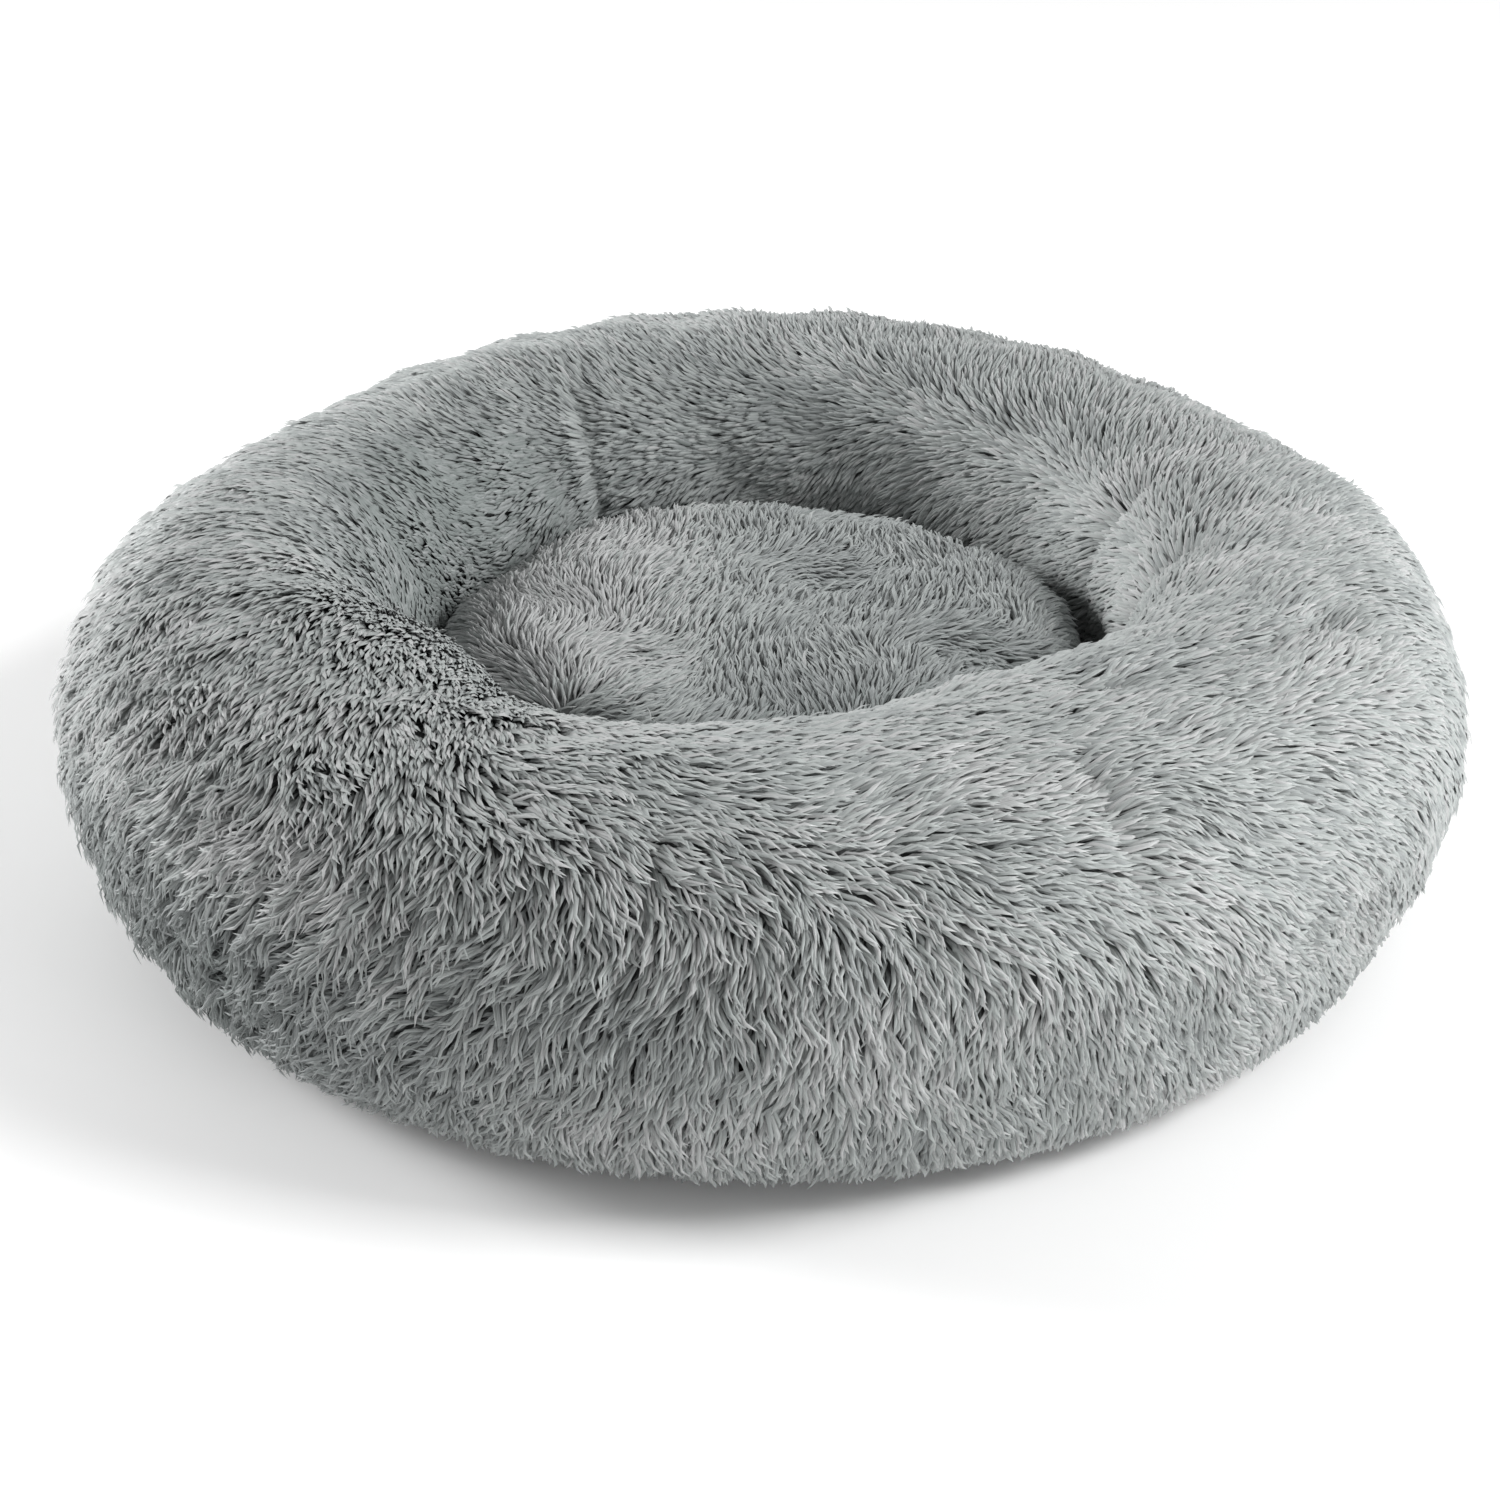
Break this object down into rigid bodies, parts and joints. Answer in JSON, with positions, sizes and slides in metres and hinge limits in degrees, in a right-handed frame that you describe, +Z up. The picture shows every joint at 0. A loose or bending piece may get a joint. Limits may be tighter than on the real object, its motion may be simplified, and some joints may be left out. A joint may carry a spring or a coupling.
{
  "type": "round pet cushion bed",
  "caption": "Round plush pet bed: a fat ring bolster round a puffed floor cushion, with a removable fur cover, non-slip base and a curved zip underneath.",
  "frame": {"origin": "centre of the underside, on the floor", "axes": "+Z up, -Y towards the front of the bed, +X to the right as seen from the front"},
  "size_m": [0.8, 0.8, 0.2],
  "materials": {
    "plush": "long-pile faux fur, cool grey, matte",
    "nonwoven": "thin white non-woven cloth",
    "fibre": "white polyester fibre filling",
    "oxford": "coated black Oxford weave with non-slip dots",
    "ribbon": "plain white satin ribbon, blank",
    "tape": "dark grey woven zip tape",
    "coil": "dark grey nylon coil",
    "metal": "nickel-plated zinc, satin"
  },
  "bodies": {
    "bed": {"ring_fur_left": "plush", "ring_fur_right": "plush", "floor_fur": "plush", "ring_bag": "nonwoven", "ring_fibre": "fibre", "floor_bag": "nonwoven", "floor_fibre": "fibre", "base_panel": "oxford", "care_label": "ribbon", "zip_tape_inner": "tape", "zip_tape_outer": "tape", "zip_coil_inner": "coil", "zip_coil_outer": "coil", "zip_top_stop_inner": "metal", "zip_top_stop_outer": "metal", "zip_bottom_stop": "metal"},
    "slider": {"zip_slider": "metal"},
    "pull": {"zip_pull": "metal"}
  },
  "joints": [
    {"name": "zip_travel", "type": "hinge", "parent": "bed", "child": "slider", "pos_m": [0, 0, 0], "axis": [0, 0, 1], "range_deg": [0, 136]},
    {"name": "pull_swing", "type": "hinge", "parent": "slider", "child": "pull", "pos_m": [0.32556, 0.13286, 0.00882], "axis": [-0.8596, -0.3508, -0.3714], "range_deg": [0, 170]}
  ]
}
